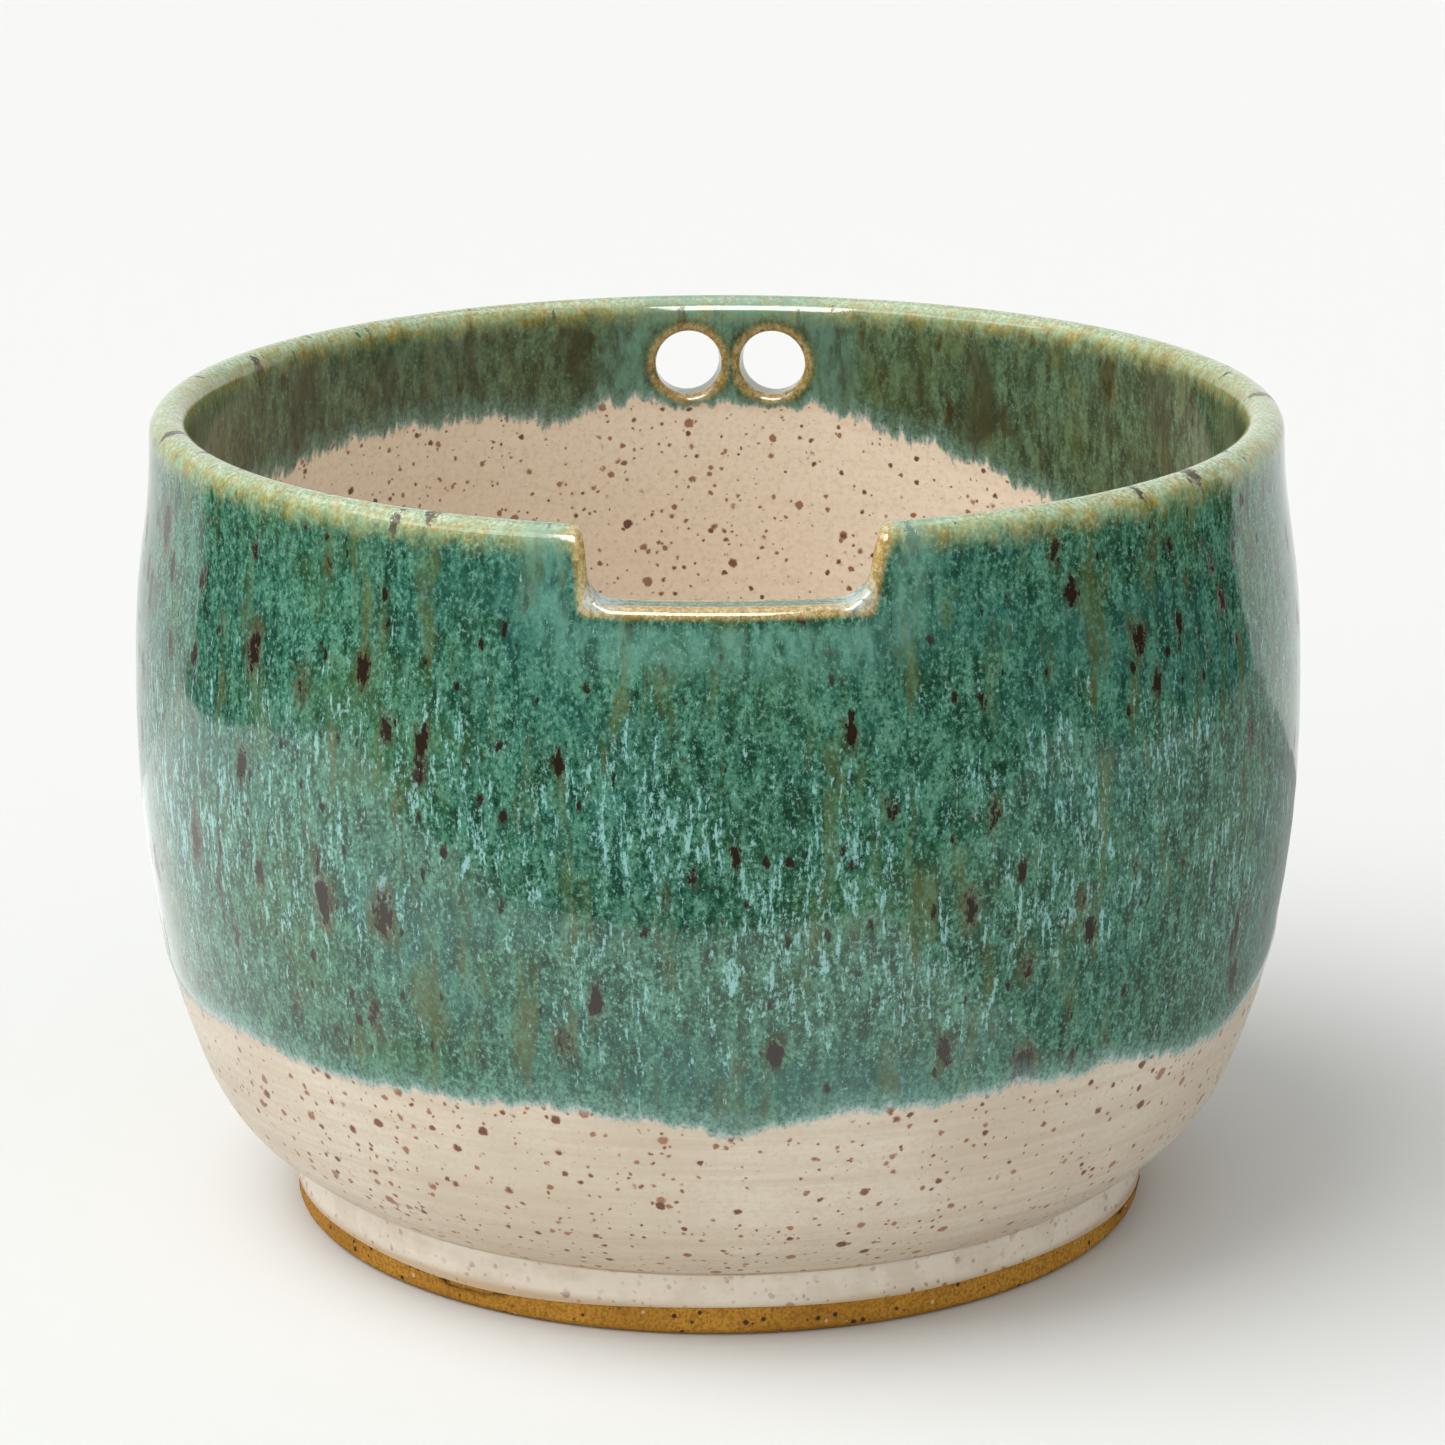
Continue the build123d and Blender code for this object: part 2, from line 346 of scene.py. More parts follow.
inside_rows = (np.arange(I) > I_CREST)[:, None] & (np.arange(I) <= I_BLOCK_IN)[:, None]
moved = fade > 1e-4
u = np.where(moved & outside_rows, u_out(z_new), np.where(moved & inside_rows, u_in(z_new), u))
r_here = at(u)[0]
with np.errstate(invalid="ignore"):
    turn_x = np.degrees(np.arcsin(np.clip(x / np.maximum(r_here, 30), -1, 1)))
turn = turn + use * (turn_x - ((turn + 180) % 360 - 180))

r, z, nr, nz = at(u)
round_off = EDGE - np.sqrt(np.clip(EDGE ** 2 - (EDGE - apart) ** 2, 0, None))
depth = np.where(apart < EDGE, round_off, 0)
depth = depth * (use > 0.5)
rad = np.radians(turn)


def wobble(rad, u, z):
    """Hand-thrown unevenness: a slightly oval wall and faint rings, along the normal."""
    wall = smooth(z, 9, 30) * (1 - smooth(z, 92, 101))
    rings = 0.012 * np.sin(u * 0.92 + 1.6 * np.sin(rad) + 0.6 * np.sin(u * 0.21)) \
        + 0.008 * np.sin(u * 1.7 + rad * 1.0 + 2.0)
    oval = 0.16 * np.sin(2 * rad + 0.5) + 0.09 * np.sin(3 * rad + 2.1 + z * 0.02)
    return wall * (rings + oval)


def place(rad, u, depth):
    r, z, nr, nz = at(u)
    push = wobble(rad, u, z) - depth
    rr = r + nr * push
    zz = z + nz * push
    return np.stack([rr * np.sin(rad), -rr * np.cos(rad), zz], axis=-1)


grid = place(rad, u, depth)

# --- assemble one closed master surface: the bowl under its green coat ---------------------------
verts, quads, side_of, green_of, u_of, deep = [], [], [], [], [], []


def vert(p, where, depth_in=0.0):
    verts.append(p)
    u_of.append(where)
    deep.append(depth_in)
    return len(verts) - 1


index = -np.ones((I, J), int)
blocks = [(C_B0, C_B1, HOLE_TURN[0]), (C_B1, C_B2, HOLE_TURN[1])]


def in_notch(i, j):
    return I_FLOOR < i < I_FLOOR_IN and C_L < j < C_R


def in_block(i, j):
    for lo in (I_BLOCK, I_BLOCK_IN - CUTS):
        for c0, c1, _ in blocks:
            if lo < i < lo + CUTS and c0 < j < c1:
                return True
    return False


for i in range(I):
    for j in range(J):
        if i in (0, I - 1):
            index[i, j] = index[i, 0] if j else vert(grid[i, 0], u[i, 0])
        elif not in_notch(i, j) and not in_block(i, j):
            index[i, j] = vert(grid[i, j], u[i, j])


def face(ids, side, green):
    ids = [q for k, q in enumerate(ids) if q != ids[k - 1]]
    if len(ids) > 2:
        quads.append(ids)
        side_of.append(side)
        green_of.append(green)


for i in range(I - 1):
    side = 0 if i < I_BARE else 1 if i < I_CREST else 2
    green = I_GREEN <= i < I_GREEN_IN
    for j in range(J):
        k = (j + 1) % J
        if I_FLOOR <= i < I_FLOOR_IN and C_L <= j < C_R:
            continue
        skip = False
        for lo in (I_BLOCK, I_BLOCK_IN - CUTS):
            for c0, c1, _ in blocks:
                skip |= lo <= i < lo + CUTS and c0 <= j < c1
        if not skip:
            face([index[i, j], index[i, k], index[i + 1, k], index[i + 1, j]], side, green)


def lining(pairs, closed):
    """Cut face through the wall: strips between matching points of its two faces."""
    lines = []
    for a, b in pairs:
        pa, pb = verts[a], verts[b]
        line = [a]
        for k in range(1, THROUGH):
            w = k / THROUGH
            line.append(vert(pa * (1 - w) + pb * w, u_of[a] * (1 - w) + u_of[b] * w,
                             min(w, 1 - w) * float(np.linalg.norm(pa - pb))))
        lines.append(line + [b])
    steps = range(len(lines)) if closed else range(1, len(lines))
    for n in steps:
        for k in range(THROUGH):
            side = 1 if k < THROUGH // 2 else 2
            face([lines[n - 1][k], lines[n][k], lines[n][k + 1], lines[n - 1][k + 1]], side, True)
    return lines


pairs = [(index[I_CREST - k, C_L], index[I_CREST + k, C_L])
         for k in range(1, I_CREST - I_FLOOR + 1)]
pairs += [(index[I_FLOOR, j], index[I_FLOOR_IN, j]) for j in range(C_L + 1, C_R)]
pairs += [(index[I_CREST - k, C_R], index[I_CREST + k, C_R])
          for k in range(I_CREST - I_FLOOR, 0, -1)]
lines = lining(pairs, False)
for line, top in ((lines[0], index[I_CREST, C_L]), (lines[-1], index[I_CREST, C_R])):
    for k in range(THROUGH):
        face([line[k], line[k + 1], top], 1 if k < THROUGH // 2 else 2, True)

for c0, c1, centre in blocks:
    ends = []
    for lo, inside in ((I_BLOCK, False), (I_BLOCK_IN - CUTS, True)):
        loop = [(lo, j) for j in range(c0, c1)] + [(i, c1) for i in range(lo, lo + CUTS)] \
            + [(lo + CUTS, j) for j in range(c1, c0, -1)] \
            + [(i, c0) for i in range(lo + CUTS, lo, -1)]
        if inside:                                   # same order round the hole on both faces
            loop = [(2 * lo + CUTS - i, j) for i, j in loop]
        ring = [index[q] for q in loop]
        rr = np.array([at(u[q])[0] for q in loop])
        zz = np.array([at(u[q])[1] for q in loop])
        off = np.radians(np.array([turn[q] for q in loop]) - centre)
        ax, az = rr * np.sin(off), zz - HOLE_Z
        beta = np.arctan2(az, ax)
        size = np.hypot(ax, az)
        rings = [ring]
        gaps = [0.5] + rounding
        for n, d in enumerate(gaps):
            rho = HOLE_R + d
            if n == 0:
                rho = HOLE_R + EDGE + (size - HOLE_R - EDGE) * 0.45
            new_z = HOLE_Z + rho * np.sin(beta)
            new_u = u_in(new_z) if inside else u_out(new_z)
            new_r = at(new_u)[0]
            new_rad = math.radians(centre) + np.arcsin(rho * np.cos(beta) / new_r)
            push = EDGE - math.sqrt(max(0, EDGE ** 2 - (EDGE - d) ** 2)) if n else 0.0
            pts = place(new_rad, new_u, push)
            rings.append([vert(pts[k], new_u[k]) for k in range(len(ring))])
        for a, b in zip(rings, rings[1:]):
            for k in range(len(ring)):
                face([a[k - 1], a[k], b[k], b[k - 1]], 2 if inside else 1, True)
        ends.append(rings[-1])
    lining(list(zip(*ends)), True)

P = np.array(verts)
u_of = np.array(u_of)
side_of, green_of = np.array(side_of), np.array(green_of)
bm = bmesh.new()
made = [bm.verts.new(p) for p in verts]
for ids in quads:
    bm.faces.new([made[q] for q in ids])
bm.normal_update()
bmesh.ops.recalc_face_normals(bm, faces=bm.faces[:])
bm.faces.ensure_lookup_table()
bm.verts.index_update()
quads = [[v.index for v in f.verts] for f in bm.faces]
bm.normal_update()
if bm.calc_volume(signed=True) < 0:
    quads = [q[::-1] for q in quads]
    N = -np.array([v.normal[:] for v in bm.verts])
else:
    N = np.array([v.normal[:] for v in bm.verts])
print("master", len(verts), len(quads), "open edges", sum(not e.is_manifold for e in bm.edges))
bm.free()

# --- measures carried by every point -----------------------------------------------------------
turn_of = np.degrees(np.arctan2(P[:, 0], -P[:, 1])) % 360
is_inside = u_of > U_CREST
above = np.where(is_inside, P[:, 2] - green_in(turn_of), P[:, 2] - green_low(turn_of))
front_cut = (P[:, 1] < 0) & (np.abs(P[:, 0]) < 40)
lv = np.clip(P[:, 2], NOTCH_FLOOR, None)
nl = L_BOT + (L_TOP - L_BOT) * (lv - NOTCH_FLOOR) / NOTCH_TALL
nr_ = R_BOT + (R_TOP - R_BOT) * (lv - NOTCH_FLOOR) / NOTCH_TALL
gx = np.maximum(np.maximum(nl - P[:, 0], P[:, 0] - nr_), 0)
gz = np.maximum(NOTCH_FLOOR - P[:, 2], 0)
d_notch = np.where(front_cut, np.hypot(gx, gz), 99.0)
d_hole = np.full(len(P), 99.0)
for centre in HOLE_TURN:
    c = math.radians(centre)
    sx = P[:, 0] * math.cos(c) + P[:, 1] * math.sin(c)
    back = P[:, 0] * math.sin(c) - P[:, 1] * math.cos(c)
    dist = np.hypot(sx, P[:, 2] - HOLE_Z) - HOLE_R
    d_hole = np.where((back > 50), np.minimum(d_hole, np.abs(dist)), d_hole)
d_crest = np.abs(u_of - U_CREST)
deep = np.array(deep)
above = above + 6.0 * np.exp(-np.minimum(d_notch, d_hole) / 0.9)
above = np.where(deep > 0, np.maximum(above, 6.0), above)
arris = np.where(deep > 0, -deep, np.minimum(d_notch, d_hole))       # less than 0 inside a cut
corner = np.minimum(np.hypot(P[:, 0] - L_BOT - 1.2, P[:, 2] - NOTCH_FLOOR - 1.0),
                    np.hypot(P[:, 0] - R_BOT + 1.2, P[:, 2] - NOTCH_FLOOR - 1.0))
pool = np.where(front_cut, np.exp(-(corner / 2.6) ** 2), 0) * smooth(-arris, -0.9, 0.3)
flow = np.stack([72 * np.sin(np.radians(turn_of)), -72 * np.cos(np.radians(turn_of)), u_of], 1)


def piece(name, faces, top, low=None):
    """A coat: the outer sheet, the inner sheet against what is below it, and its rim."""
    faces = [quads[k] for k in faces]
    used = sorted({q for f in faces for q in f})
    new = {q: k for k, q in enumerate(used)}
    n = len(used)
    ids = np.array(used)
    t = top[ids] if isinstance(top, np.ndarray) else np.full(n, top)
    upper = P[ids] + N[ids] * t[:, None]
    out_faces = [[new[q] for q in f] for f in faces]
    points = upper
    if low is not None:
        points = np.vstack([upper, P[ids] + N[ids] * low])
        count = {}
        for f in out_faces:
            for k in range(len(f)):
                count[(f[k - 1], f[k])] = 1
        rim = [e for e in count if (e[1], e[0]) not in count]
        out_faces += [[q + n for q in f[::-1]] for f in out_faces]
        out_faces += [[b, a, a + n, b + n] for a, b in rim]
        ids = np.r_[ids, ids]
    mesh = bpy.data.meshes.new(name)
    mesh.from_pydata((points * MM).tolist(), [], out_faces)
    mesh.polygons.foreach_set("use_smooth", [True] * len(mesh.polygons))
    for label, data in (("above", above), ("cut", arris), ("pool", pool),
                        ("crest", d_crest), ("inner", is_inside.astype(float))):
        layer = mesh.attributes.new(label, "FLOAT", "POINT")
        layer.data.foreach_set("value", data[ids].astype(np.float32))
    layer = mesh.attributes.new("flow", "FLOAT_VECTOR", "POINT")
    layer.data.foreach_set("vector", flow[ids].astype(np.float32).ravel())
    if low is not None:                              # crisp rim, so neither sheet shades round it
        ends = np.zeros(2 * len(mesh.edges), int)
        mesh.edges.foreach_get("vertices", ends)
        ends = np.sort(ends.reshape(-1, 2), axis=1)
        marked = np.sort(np.array([(a, b) for a, b in rim]
                                  + [(a + n, b + n) for a, b in rim]), axis=1)
        sharp = np.isin(ends[:, 0] * len(points) + ends[:, 1],
                        marked[:, 0] * len(points) + marked[:, 1])
        layer = mesh.attributes.new("sharp_edge", "BOOLEAN", "EDGE")
        layer.data.foreach_set("value", sharp)
    mesh.validate()
    obj = bpy.data.objects.new(name, mesh)
    bpy.context.scene.collection.objects.link(obj)
    print(name, "tris", sum(len(f) - 2 for f in out_faces))
    return obj


everything = range(len(quads))
coat = 0.02 + (GREEN - 0.02) * np.clip((above + 1.2) / 3.2, 0, 1) ** 0.8
body = piece("bowl_body", everything, -CREAM)
outside = piece("cream_outside_coat", [k for k in everything if side_of[k] == 1], 0.0, -CREAM)
liner = piece("cream_liner_coat", [k for k in everything if side_of[k] == 2], 0.0, -CREAM)
green = piece("green_dip_coat", [k for k in everything if green_of[k]], coat, 0.0)

for obj, node, slot in (
        (body, "stoneware_body", "bare_stoneware"), (outside, "cream_outside", "cream_glaze"),
        (liner, "cream_liner", "cream_glaze"), (green, "green_glaze", "green_glaze")):
    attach(obj, "root")
    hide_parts(node)


# --- materials --------------------------------------------------------------------------------
class Net:
    """A small builder for one material's nodes; every method returns an output socket."""

    def __init__(self, name):
        self.mat = bpy.data.materials.new(name)
        self.mat.use_nodes = True
        self.tree = self.mat.node_tree
        self.bsdf = self.tree.nodes["Principled BSDF"]

    def node(self, kind, **inputs):
        node = self.tree.nodes.new(kind)
        for key, item in inputs.items():
            self.feed(node.inputs[key.replace("_", " ")], item)
        return node

    def feed(self, socket, item):
        if isinstance(item, bpy.types.NodeSocket):
            self.tree.links.new(item, socket)
        elif isinstance(item, tuple) and len(item) == 3 and socket.type == "RGBA":
            socket.default_value = (*item, 1)
        else:
            socket.default_value = item

    def math(self, op, a, b=0.0, c=0.0, clamp=False):
        node = self.tree.nodes.new("ShaderNodeMath")
        node.operation = op
        node.use_clamp = clamp
        for socket, item in zip(node.inputs, (a, b, c)):
            self.feed(socket, item)
        return node.outputs[0]

    def vec(self, op, a, b=(0, 0, 0)):
        node = self.tree.nodes.new("ShaderNodeVectorMath")
        node.operation = op
        self.feed(node.inputs[0], a)
        self.feed(node.inputs[1], b)
        return node.outputs[0]

    def step(self, x, low, high, top=1.0, bottom=0.0):
        """Smooth rise from bottom to top as x goes from low to high."""
        node = self.tree.nodes.new("ShaderNodeMapRange")
        node.interpolation_type = "SMOOTHSTEP"
        for socket, item in zip(node.inputs, (x, low, high, bottom, top)):
            self.feed(socket, item)
        return node.outputs[0]

    def mix(self, fac, a, b, blend="MIX"):
        node = self.tree.nodes.new("ShaderNodeMix")
        node.data_type = "RGBA"
        node.blend_type = blend
        self.feed(node.inputs[0], fac)
        self.feed(node.inputs[6], a)
        self.feed(node.inputs[7], b)
        return node.outputs[2]

    def noise(self, vector, scale, detail=2.0, rough=0.5):
        node = self.node("ShaderNodeTexNoise", Vector=vector, Scale=scale, Detail=detail,
                         Roughness=rough)
        return node.outputs[0]

    def cells(self, vector, scale):
        """Distance to the nearest scattered point, and a random colour for that point."""
        node = self.node("ShaderNodeTexVoronoi", Vector=vector, Scale=scale)
        return node.outputs["Distance"], node.outputs["Color"]

    def carried(self, name, vector=False):
        node = self.tree.nodes.new("ShaderNodeAttribute")
        node.attribute_name = name
        return node.outputs["Vector" if vector else "Fac"]

    def first(self, colour, which=0):
        node = self.tree.nodes.new("ShaderNodeSeparateColor")
        self.feed(node.inputs[0], colour)
        return node.outputs[which]

    def along(self, flow):
        """Distance along the outline, in metres."""
        return self.first(self.vec("MULTIPLY", flow, (0.001, 0.001, 0.001)), 2)

    def place(self):
        """Position on the bowl, in millimetres."""
        node = self.tree.nodes.new("ShaderNodeTexCoord")
        return self.vec("MULTIPLY", node.outputs["Object"], (1000, 1000, 1000))

    def finish(self, colour, rough, height, relief, strength=1.0):
        self.feed(self.bsdf.inputs["Base Color"], colour)
        self.feed(self.bsdf.inputs["Roughness"], rough)
        bump = self.node("ShaderNodeBump", Height=height, Distance=relief, Strength=strength)
        self.feed(self.bsdf.inputs["Normal"], bump.outputs[0])
        return self.mat


def cream_look(n):
    """Satin cream glaze with iron speckles burnt through from the clay."""
    p = n.place()
    flow = n.carried("flow", True)
    broad = n.noise(p, 0.035, 2, 0.55)
    fine = n.noise(p, 1.3, 3, 0.65)
    colour = n.mix(n.step(broad, 0.35, 0.7), (0.55, 0.470, 0.364), (0.63, 0.560, 0.450))
    throw = n.noise(n.vec("MULTIPLY", flow, (0.022, 0.022, 0.62)), 1.0, 4, 0.66)
    colour = n.mix(n.step(throw, 0.38, 0.68, 0.42), colour, (0.46, 0.345, 0.225))
    colour = n.mix(n.step(fine, 0.42, 0.75, 0.45), colour, (0.50, 0.375, 0.26))
    # speckles of two sizes, gathered in drifts
    wander = n.node("ShaderNodeTexNoise", Vector=p, Scale=1.6, Detail=1.0).outputs["Color"]
    bend = n.vec("ADD", p, n.vec("MULTIPLY", wander, (0.55, 0.55, 0.55)))
    # the inside is painted a lighter cream: painted light that offsets the shade the walls cast
    # inside the bowl
    inner = n.math("MULTIPLY", n.carried("inner"), 0.72)
    colour = n.mix(inner, colour, n.mix(n.step(fine, 0.42, 0.75), (0.92, 0.81, 0.665),
                                        (0.80, 0.655, 0.51)))
    drift = n.step(n.noise(p, 0.06, 1), 0.36, 0.64)
    marks, strong = 0.0, 0.0
    for cell, size, share, soft in ((1.25, 0.27, 0.10, 0.20), (1.8, 0.46, 0.06, 0.22),
                                    (3.1, 0.74, 0.12, 0.30)):
        dist, tone = n.cells(bend, 1.0 / cell)
        pick = n.math("ADD", n.first(tone), n.math("MULTIPLY", drift, 0.26))
        radius = n.math("MULTIPLY", n.step(pick, share, 1.1), size / cell)
        spot = n.math("DIVIDE", n.math("SUBTRACT", radius, dist), soft / cell)
        marks = n.math("MAXIMUM", marks, n.math("ADD", spot, 0.35, clamp=True))
        strong = n.math("MAXIMUM", strong, n.math("MULTIPLY", n.first(tone, 1),
                                                  n.math("ADD", spot, 0.1, clamp=True)))
    colour = n.mix(n.step(marks, 0.0, 0.9, 0.92), colour, (0.29, 0.115, 0.048))
    colour = n.mix(n.step(strong, 0.2, 0.7, 0.85), colour, (0.105, 0.034, 0.020))
    height = n.math("ADD", n.math("MULTIPLY", throw, 0.8), n.math("MULTIPLY", fine, 0.16))
    height = n.math("SUBTRACT", height, n.math("MULTIPLY", marks, 0.25))
    rough = n.math("ADD", 0.27, n.math("MULTIPLY", fine, 0.16))
    return colour, rough, height, p, flow


def cream_material(name):
    n = Net(name)
    colour, rough, height, p, flow = cream_look(n)
    worn = n.step(n.noise(p, 0.16, 3, 0.6), 0.34, 0.62)
    # paler on the foot wall, brown where it breaks over the heel
    u_here = n.along(flow)
    on_foot = n.math("MULTIPLY", n.step(u_here, (U_BARE + 0.2) * MM, (U_BARE + 1.5) * MM),
                     n.step(u_here, (u_crease - 0.8) * MM, (u_crease - 0.1) * MM, 0.0, 1.0))
    colour = n.mix(n.math("MULTIPLY", on_foot, n.step(worn, 0.0, 1.0, 0.65, 0.35)), colour,
                   (0.80, 0.73, 0.63))
    ridge = n.math("SUBTRACT", u_here, (u_crease + 0.15) * MM)
    ridge = n.step(n.math("ABSOLUTE", ridge), 0.25 * MM, 0.9 * MM, 0.0, 1.0)
    colour = n.mix(n.math("MULTIPLY", ridge, n.step(worn, 0.0, 1.0, 0.9, 0.3)), colour,
                   (0.34, 0.20, 0.10))
    hem = n.step(u_here, (U_BARE + 0.1) * MM, (U_BARE + 0.8) * MM, 0.0, 1.0)
    colour = n.mix(n.math("MULTIPLY", hem, 0.6), colour, (0.46, 0.30, 0.16))
    n.bsdf.inputs["IOR"].default_value = 1.5
    return n.finish(colour, rough, height, 0.00012)


def green_ground(n, p, flow, run):
    """Mottled green of the coat itself, with broad drifts of hue and olive streaks."""
    patch = n.noise(n.vec("MULTIPLY", flow, (0.05, 0.05, 0.035)), 1.0, 2)
    mottle = n.noise(n.vec("MULTIPLY", run, (0.62, 0.62, 0.24)), 1.0, 3, 0.62)
    grain = n.noise(n.vec("MULTIPLY", p, (1.0, 1.0, 0.8)), 1.9, 3, 0.75)
    colour = n.mix(n.step(patch, 0.36, 0.66), (0.022, 0.086, 0.044), (0.026, 0.120, 0.080))
    colour = n.mix(n.step(mottle, 0.44, 0.66, 0.85), colour, (0.080, 0.230, 0.150))
    colour = n.mix(n.step(mottle, 0.34, 0.48, 0.0, 0.88), colour, (0.009, 0.038, 0.020))
    colour = n.mix(n.step(grain, 0.52, 0.65, 0.88), colour, (0.150, 0.315, 0.235))
    colour = n.mix(n.step(grain, 0.35, 0.49, 0.0, 0.86), colour, (0.008, 0.027, 0.010))
    hue = n.noise(n.vec("MULTIPLY", flow, (0.035, 0.035, 0.05)), 1.0, 3, 0.6)
    colour = n.mix(n.step(hue, 0.50, 0.72, 0.34), colour, (0.080, 0.165, 0.055))
    colour = n.mix(n.step(hue, 0.28, 0.50, 0.0, 0.45), colour, (0.024, 0.115, 0.105))
    olive = n.noise(n.vec("MULTIPLY", run, (0.33, 0.33, 0.06)), 1.0, 3, 0.6)
    colour = n.mix(n.step(olive, 0.52, 0.72, 0.6), colour, (0.090, 0.105, 0.026))
    return colour, mottle, grain


def pale_runs(n, p, flow, run):
    """Where fine pale turquoise runs lie, thickest round the belly."""
    u_here = n.along(flow)
    low, middle, high, top = (float(u_out(z)) * MM for z in (33, 58, 72, 96))
    belly = n.math("MULTIPLY", n.step(u_here, low, middle, 1.0, 0.45),
                   n.step(u_here, high, top, 0.30, 1.0))
    cover = n.noise(n.vec("MULTIPLY", flow, (0.07, 0.07, 0.05)), 1.0, 2)
    cover = n.step(cover, 0.30, 0.66, 1.0, 0.5)
    thread = n.noise(n.vec("MULTIPLY", run, (1.3, 1.3, 0.21)), 1.0, 3, 0.7)
    broken = n.noise(n.vec("MULTIPLY", p, (2.4, 2.4, 1.5)), 1.0, 2, 0.7)
    need = n.math("SUBTRACT", 0.660, n.math("MULTIPLY", n.math("MULTIPLY", belly, cover), 0.155))
    runs = n.math("SUBTRACT", n.math("ADD", n.math("MULTIPLY", thread, 0.62),
                                     n.math("MULTIPLY", broken, 0.38)), need)
    return n.math("MULTIPLY", runs, 13.0, clamp=True)


def iron_spots(n, p, run):
    """Iron spots of three sizes, drawn out by the run of the glaze, and the halos round them."""
    spots, halos = 0.0, 0.0
    ragged = n.noise(n.vec("MULTIPLY", p, (1.0, 1.0, 0.45)), 1.45, 3, 0.8)
    # spacing across and along, size, least share, raggedness
    for wide, tall, size, share, rag in ((7.4, 16.0, 1.55, 0.06, 3.2), (4.0, 9.5, 0.92, 0.02, 2.1),
                                         (2.3, 5.0, 0.46, 0.0, 1.1)):
        squeezed = n.vec("MULTIPLY", run, (1.0, 1.0, wide / tall))
        dist, tone = n.cells(squeezed, 1.0 / wide)
        radius = n.math("MULTIPLY", n.step(n.first(tone), share, 1.05), size / wide)
        torn = n.math("MULTIPLY", n.math("SUBTRACT", ragged, 0.52), rag / wide)
        reach = n.math("ADD", n.math("SUBTRACT", radius, dist), torn)
        spot = n.math("DIVIDE", reach, 0.32 / wide)
        spots = n.math("MAXIMUM", spots, n.math("ADD", spot, 0.3, clamp=True))
        halo = n.math("DIVIDE", n.math("ADD", reach, n.math("MULTIPLY", radius, 0.8)), 1.3 / wide)
        halos = n.math("MAXIMUM", halos, n.math("ADD", halo, 0.0, clamp=True))
    return spots, halos


def green_inside(n, colour, flow, inside, mottle):
    """The inside of the coat is browner and darker, with broad smudges."""
    colour = n.mix(n.math("MULTIPLY", inside, 0.50), colour, n.mix(
        n.step(mottle, 0.35, 0.66), (0.040, 0.046, 0.011), (0.118, 0.142, 0.050)))
    smudge = n.noise(n.vec("MULTIPLY", flow, (0.14, 0.14, 0.06)), 1.0, 3, 0.6)
    smudge = n.math("MULTIPLY", inside, n.step(smudge, 0.50, 0.70, 0.75))
    return n.mix(smudge, colour, (0.030, 0.030, 0.010))


def broken_lip(n, colour, p, flow, grain, spots):
    """The coat breaks to amber and olive over the lip, and to pale green on its crest."""
    crest_gap = n.carried("crest")
    rag = n.noise(n.vec("MULTIPLY", flow, (0.45, 0.45, 0.30)), 1.0, 3, 0.65)
    lip = n.step(n.math("SUBTRACT", crest_gap, n.math("MULTIPLY", rag, 4.2)), -0.8, 3.0, 0.0, 1.0)
    tone = n.mix(n.step(n.noise(p, 0.42, 3, 0.65), 0.38, 0.62), (0.370, 0.300, 0.075),
                 (0.330, 0.440, 0.240))
    tone = n.mix(n.step(grain, 0.45, 0.7, 0.4), tone, (0.55, 0.57, 0.34))
    crown = n.math("MULTIPLY", n.step(crest_gap, 0.6, 2.4, 0.0, 1.0),
                   n.step(rag, 0.34, 0.62, 0.8, 0.2))
    tone = n.mix(crown, tone, n.mix(n.step(grain, 0.36, 0.66), (0.270, 0.380, 0.225),
                                    (0.62, 0.70, 0.55)))
    colour = n.mix(n.math("MULTIPLY", lip, n.step(grain, 0.3, 0.6, 0.92, 0.72)), colour, tone)
    return n.mix(n.math("MULTIPLY", lip, n.step(spots, 0.1, 0.8, 0.9)), colour,
                 (0.030, 0.016, 0.008))


def cut_edges(n, colour, p, inside, mottle, grain):
    """Paler under a cut, dark in it, amber on its arris, and blue where glaze pools."""
    cut = n.carried("cut")
    pool = n.carried("pool")
    under_cut = n.math("MULTIPLY", n.step(cut, 1.0, 2.6), n.step(cut, 4.0, 10.0, 0.0, 1.0))
    colour = n.mix(n.math("MULTIPLY", under_cut, n.step(mottle, 0.3, 0.6, 0.55, 0.15)), colour,
                   (0.130, 0.300, 0.235))
    in_cut = n.step(cut, -0.9, -0.15, 0.0, 1.0)
    colour = n.mix(n.math("MULTIPLY", in_cut, 0.85), colour, n.mix(
        n.step(grain, 0.36, 0.66), (0.022, 0.060, 0.034), (0.130, 0.245, 0.175)))
    worn = n.step(n.noise(p, 0.6, 3, 0.65), 0.30, 0.52)
    rim = n.math("MULTIPLY", n.step(cut, 0.25, 1.35, 0.0, 1.0), n.step(cut, -1.0, -0.25))
    rim = n.math("MULTIPLY", rim, n.math("SUBTRACT", 0.97, n.math("MULTIPLY", inside, 0.12)))
    colour = n.mix(n.math("MULTIPLY", rim, n.step(worn, 0.0, 1.0, 1.0, 0.45)), colour,
                   n.mix(n.step(grain, 0.4, 0.62), (0.36, 0.215, 0.055), (0.56, 0.43, 0.19)))
    return n.mix(n.math("MULTIPLY", pool, n.step(grain, 0.34, 0.56, 0.85, 0.3)), colour,
                 (0.42, 0.58, 0.60))


